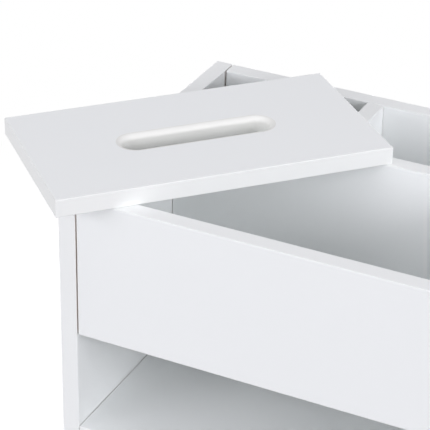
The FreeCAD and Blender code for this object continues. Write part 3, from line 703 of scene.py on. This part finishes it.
steelFinish = platedSteel()
zincFinish = zincCasting()
nylonFinish = mouldedPlastic("washerNylon")
pedalFinish = mouldedPlastic("pedalPlastic")
dress("wood_dowels", beechWood())
dress("cam_bolts", steelFinish)
for corner in corners:
    for piece in ("caster_plate", "king_pin", "fork", "axle"):
        dress(piece + "_" + corner, steelFinish)
    dress("thrust_washer_" + corner, nylonFinish)
    dress("wheel_hub_" + corner, hubPlastic(corner))
    dress("wheel_tread_" + corner, treadRubber(corner))
for corner in brakedCorners:
    dress("brake_pin_" + corner, steelFinish)
    dress("brake_lever_" + corner, pedalFinish)
print("casters and hidden fittings dressed")


# Screws and cam discs, each kind grown from one tree on blanks that reach from -0.5 to 0.5

growthSeed = 7
crossBar = 0.24                                # a recess bar's width against its length


def newGrowth(name, sizes, seeds=()):          # a group with a named input for each size
    group = bpy.data.node_groups.new(name, "GeometryNodeTree")
    kinds = {"Geometry": "Geometry", **dict.fromkeys(sizes, "Float"),
             **dict.fromkeys(seeds, "Int"), "Material": "Material"}
    for label, kind in kinds.items():
        group.interface.new_socket(label, in_out="INPUT", socket_type="NodeSocket" + kind)
    group.interface.new_socket("Geometry", in_out="OUTPUT", socket_type="NodeSocketGeometry")
    tree = NodeTree(group)
    return group, tree, tree.node("NodeGroupInput")


def endGrowth(tree, given, shape, turn):       # a copy of the shape on every point
    copies = tree.node("GeometryNodeInstanceOnPoints", None,
                       {"Points": given.pick("Geometry"), "Instance": shape, "Rotation": turn})
    solid = tree.node("GeometryNodeRealizeInstances", None, {"Geometry": copies})
    coated = tree.node("GeometryNodeSetMaterial", None,
                       {"Geometry": solid, "Material": given.pick("Material")})
    tree.node("NodeGroupOutput", None, {"Geometry": coated})


def crossRecess(tree, width, depth, level):    # two crossed bars that reach down from a level
    cutters = []
    for size in ((width, width * crossBar), (width * crossBar, width)):
        bar = tree.node("GeometryNodeMeshCube", None, {"Size": tree.vector(*size, depth * 2)})
        cutters.append(tree.shifted(bar, tree.vector(0.0, 0.0, level)))
    return cutters


def cutOut(tree, shape, cutters):
    return tree.node("GeometryNodeMeshBoolean", {"operation": "DIFFERENCE", "solver": "EXACT"},
                     {"Mesh 1": shape, "Mesh 2": cutters})


screwSizes = ("Head Radius", "Head Rise", "Shank Radius", "Length", "Thread Pitch", "Recess", "Flare")
screwShape = {
    "headFaces": (32, 10),                     # around and along
    "shankFaces": (18, 56),
    "domeFall": 0.34,                          # from here on, shares of the sizes above
    "domeStart": 0.3,
    "recessDepth": 0.36,
    "threadCore": 0.68,
    "threadRise": 0.6,
    "tipRadius": 0.06,
    "tipLength": 0.2,
}


def screwGrowth():                             # pan head at Flare 0, countersunk at Flare 1
    group, tree, given = newGrowth("screwGrowth", screwSizes, ["Seed"])
    headRadius, rise, shankRadius, length, pitch, recess, flare = map(given.pick, screwSizes)
    x, y, z = tree.position()
    up = z + 0.5
    neck = shankRadius / headRadius
    dome = 1 - screwShape["domeFall"] * tree.ease(up, screwShape["domeStart"], 1.0)
    cone = neck + (1 - neck) * up
    wide = (dome + (cone - dome) * flare) * headRadius
    panLevel = up * rise
    sunkLevel = (up - 1) * (headRadius - shankRadius)
    level = panLevel + (sunkLevel - panLevel) * flare
    head = tree.shaped(tree.cylinder(*screwShape["headFaces"]), tree.vector(x * wide, y * wide, level))
    head = cutOut(tree, head, crossRecess(tree, recess, recess * screwShape["recessDepth"],
                                          rise * (1 - flare)))
    start = -1 * flare * (headRadius - shankRadius)
    down = start - (1 - up) * (length + start)
    turns = down / pitch - y.maths("ARCTAN2", y, x) / (2 * math.pi)
    ridge = turns.maths("PINGPONG", turns, 0.5)
    tip = screwShape["tipRadius"]
    narrow = tip + (1 - tip) * tree.ease(up, 0.0, screwShape["tipLength"])
    reach = shankRadius * (screwShape["threadCore"] + screwShape["threadRise"] * ridge) * narrow
    shank = tree.shaped(tree.cylinder(*screwShape["shankFaces"]), tree.vector(x * reach, y * reach, down))
    shape = tree.node("GeometryNodeJoinGeometry", None, {"Geometry": [head, shank]})
    spin = tree.node("FunctionNodeRandomValue", {"data_type": "FLOAT"},
                     {"Min": 0.0, "Max": 2 * math.pi, "Seed": given.pick("Seed")})
    turned = tree.node("FunctionNodeAxisAngleToRotation", None, {"Axis": (0, 0, 1), "Angle": spin})
    lean = tree.node("FunctionNodeAlignRotationToVector", {"axis": "Z"},
                     {"Vector": tree.stored("facing")})
    turn = tree.node("FunctionNodeRotateRotation", {"rotation_space": "LOCAL"},
                     {"Rotation": lean, "Rotate By": turned})
    endGrowth(tree, given, shape, turn)
    return group


camSizes = ("Radius", "Height", "Bevel", "Recess", "Bore Radius", "Bore Depth", "Bore Reach")
camShape = {
    "discFaces": (48, 12),                     # around and along
    "boreFaces": 28,
    "bevelStart": 0.42,                        # level on the blank
    "recessDepth": 0.4,                        # against the recess
    "arrowSize": 0.22,                         # against the recess
    "arrowPlace": 0.74,                        # against the radius
}


def camGrowth():                               # face up at 0, bolt bore along -X
    group, tree, given = newGrowth("camGrowth", camSizes)
    radius, height, bevel, recess, boreRadius, boreDepth, boreReach = map(given.pick, camSizes)
    x, y, z = tree.position()
    wide = radius - bevel * tree.ease(z, camShape["bevelStart"], 0.5)
    disc = tree.shaped(tree.cylinder(*camShape["discFaces"]),
                       tree.vector(x * wide, y * wide, (z - 0.5) * height))
    bore = tree.cylinder(camShape["boreFaces"], 1, boreRadius, radius * 2)
    bore = tree.shifted(bore, tree.vector(boreReach - radius, 0.0, -1 * boreDepth), (0, math.pi / 2, 0))
    arrow = tree.cylinder(3, 1, recess * camShape["arrowSize"], bevel * 2)
    arrow = tree.shifted(arrow, tree.vector(radius * -camShape["arrowPlace"], 0.0, 0.0), (0, 0, math.pi))
    cutters = crossRecess(tree, recess, recess * camShape["recessDepth"], 0.0) + [bore, arrow]
    turn = tree.node("FunctionNodeAxesToRotation", {"primary_axis": "Z", "secondary_axis": "X"},
                     {"Primary Axis": tree.stored("facing"), "Secondary Axis": tree.stored("inward")})
    endGrowth(tree, given, cutOut(tree, disc, cutters), turn)
    return group


def growPiece(name, group, places, sizes, finish, node):
    mesh = bpy.data.meshes.new(name)
    mesh.from_pydata([place["at"] for place in places], [], [])
    for label in [key for key in places[0] if key != "at"]:
        layer = mesh.attributes.new(label, "FLOAT_VECTOR", "POINT")
        layer.data.foreach_set("vector", [part for place in places for part in place[label]])
    piece = bpy.data.objects.new(name, mesh)
    scene.collection.objects.link(piece)
    growth = piece.modifiers.new(name, "NODES")
    growth.node_group = group
    values = {**sizes, "Seed": growthSeed, "Material": finish}
    for socket in group.interface.items_tree:
        if socket.in_out == "INPUT" and socket.name in values:
            growth[socket.identifier] = values[socket.name]
    grown = piece.evaluated_get(bpy.context.evaluated_depsgraph_get())
    solid = bpy.data.meshes.new_from_object(grown)
    piece.modifiers.clear()
    piece.data = solid
    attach(piece, "cabinet")
    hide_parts(node)
    print(name, "grown:", len(solid.polygons), "faces")


plateScrew = {"rise": 0.0022, "shank": 0.002, "pitch": 0.0018, "recess": 0.0046}


def growPlateScrews(group):                    # heads down, under the caster plates
    solids = solidBoxes("caster_screws")
    places = []
    for low, high in solids:
        centre = (low + high) / 2
        places.append({"at": (centre.x, centre.y, low.z + plateScrew["rise"]), "facing": (0, 0, -1)})
    size = sizeOfOne(solids)
    growPiece("plateScrews", group, places, {
        "Head Radius": size.x / 2, "Head Rise": plateScrew["rise"],
        "Shank Radius": plateScrew["shank"], "Length": size.z - plateScrew["rise"],
        "Thread Pitch": plateScrew["pitch"], "Recess": plateScrew["recess"], "Flare": 0.0,
    }, steelFinish, "caster_screws")


cleatScrew = {"shank": 0.00175, "pitch": 0.0016, "recess": 0.0042}


def growCleatScrews(group):                    # heads towards the middle of the bin
    solids = solidBoxes("cleat_screws")
    places = []
    for low, high in solids:
        centre = (low + high) / 2
        inward = -1 if centre.x > 0 else 1
        face = high.x if inward > 0 else low.x
        places.append({"at": (face, centre.y, centre.z), "facing": (inward, 0, 0)})
    size = sizeOfOne(solids)
    growPiece("cleatScrews", group, places, {
        "Head Radius": size.y / 2, "Head Rise": 0.0,
        "Shank Radius": cleatScrew["shank"], "Length": size.x,
        "Thread Pitch": cleatScrew["pitch"], "Recess": cleatScrew["recess"], "Flare": 1.0,
    }, steelFinish, "cleat_screws")


camDisc = {
    "bevel": 0.0005,
    "recess": 0.0068,
    "boreRadius": 0.0035,
    "boreDepth": 0.0075,
    "boreReach": 0.002,
}


def growCams(group):                           # under the flat boards, behind the upright ones
    solids = solidBoxes("cam_locks")
    places = []
    for low, high in solids:
        centre = (low + high) / 2
        flat = high.z - low.z < high.y - low.y
        places.append({
            "at": (centre.x, centre.y, low.z) if flat else (centre.x, high.y, centre.z),
            "facing": (0, 0, -1) if flat else (0, 1, 0),
            "inward": (-1 if centre.x > 0 else 1, 0, 0),
        })
    size = sizeOfOne(solids)                   # a disc is thinner than it is wide
    growPiece("camDiscs", group, places, {
        "Radius": size.x / 2, "Height": min(size.y, size.z), "Bevel": camDisc["bevel"],
        "Recess": camDisc["recess"], "Bore Radius": camDisc["boreRadius"],
        "Bore Depth": camDisc["boreDepth"], "Bore Reach": camDisc["boreReach"],
    }, zincFinish, "cam_locks")


screwTree = screwGrowth()
growPlateScrews(screwTree)
growCleatScrews(screwTree)
growCams(camGrowth())
